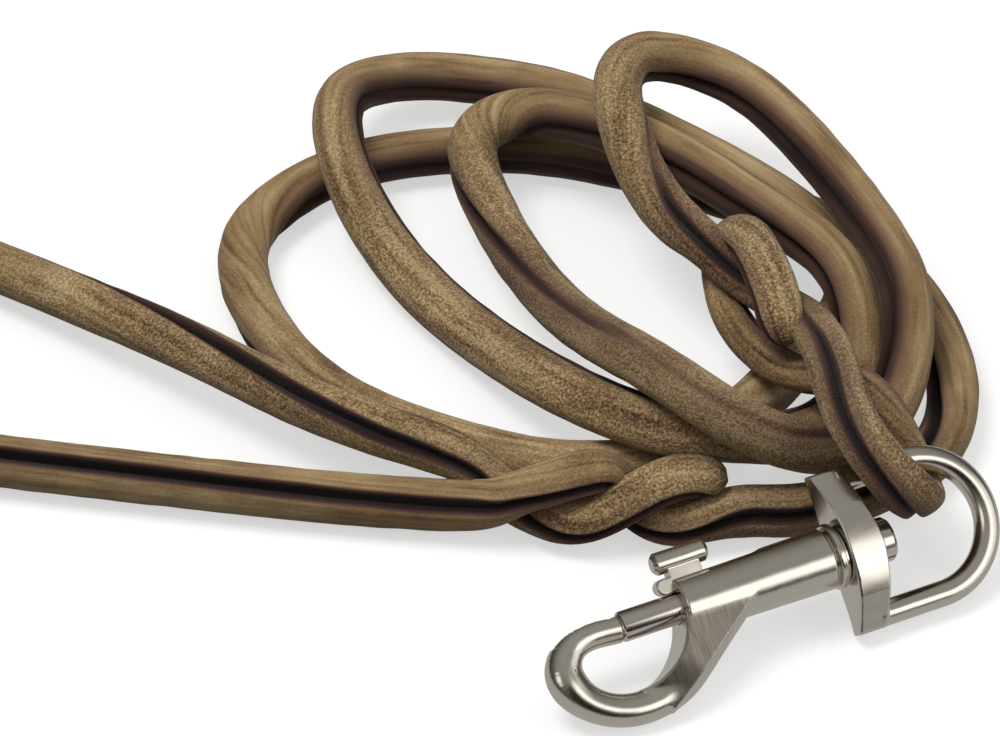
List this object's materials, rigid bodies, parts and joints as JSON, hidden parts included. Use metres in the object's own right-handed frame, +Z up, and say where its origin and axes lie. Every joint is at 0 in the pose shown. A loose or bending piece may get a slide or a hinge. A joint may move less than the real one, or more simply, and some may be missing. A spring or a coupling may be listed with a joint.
{
  "type": "training leash",
  "caption": "Training leash of rolled leather cord, loosely coiled, with a twisted splice and hand loop at one end and a swivel bolt snap at the other.",
  "frame": {"origin": "middle of the snap's bounding box, on the surface that the snap and the coiled leather lie on", "axes": "+X along the snap from the hook to the bow, +Y from the snap towards the coil, +Z up"},
  "size_m": [0.2235, 0.1825, 0.0339],
  "materials": {
    "leather": "rolled oiled leather, grain side out",
    "nickel": "nickel-plated die-cast zinc, bright satin",
    "steel": "nickel-plated steel, turned and drawn"
  },
  "bodies": {
    "lead": {"lead_strap": "leather", "handle_strap": "leather", "handle_splice_standing": "leather", "handle_splice_tail": "leather", "snap_splice_standing": "leather", "snap_splice_tail": "leather", "snap_strap": "leather"},
    "eye": {"swivel_eye": "nickel"},
    "hook": {"hook_body": "nickel", "swivel_rivet": "steel", "swivel_washer": "steel", "bolt_spring": "steel"},
    "bolt": {"latch_bolt": "steel", "thumb_knob": "nickel"}
  },
  "joints": [
    {"name": "eye_link", "type": "hinge", "parent": "lead", "child": "eye", "pos_m": [0.02, 0.01028, 0.0193], "axis": [-1, 0, 0], "range_deg": [0, 20]},
    {"name": "swivel", "type": "hinge", "parent": "eye", "child": "hook", "pos_m": [0.015, 0.00093, 0.01146], "axis": [1, 0, 0], "continuous": true},
    {"name": "bolt_slide", "type": "slide", "parent": "hook", "child": "bolt", "axis": [1, 0, 0], "range_m": [0, 0.0096], "stiffness_N_per_m": 800, "springref_m": -0.006, "deforming": ["bolt_spring"]}
  ]
}
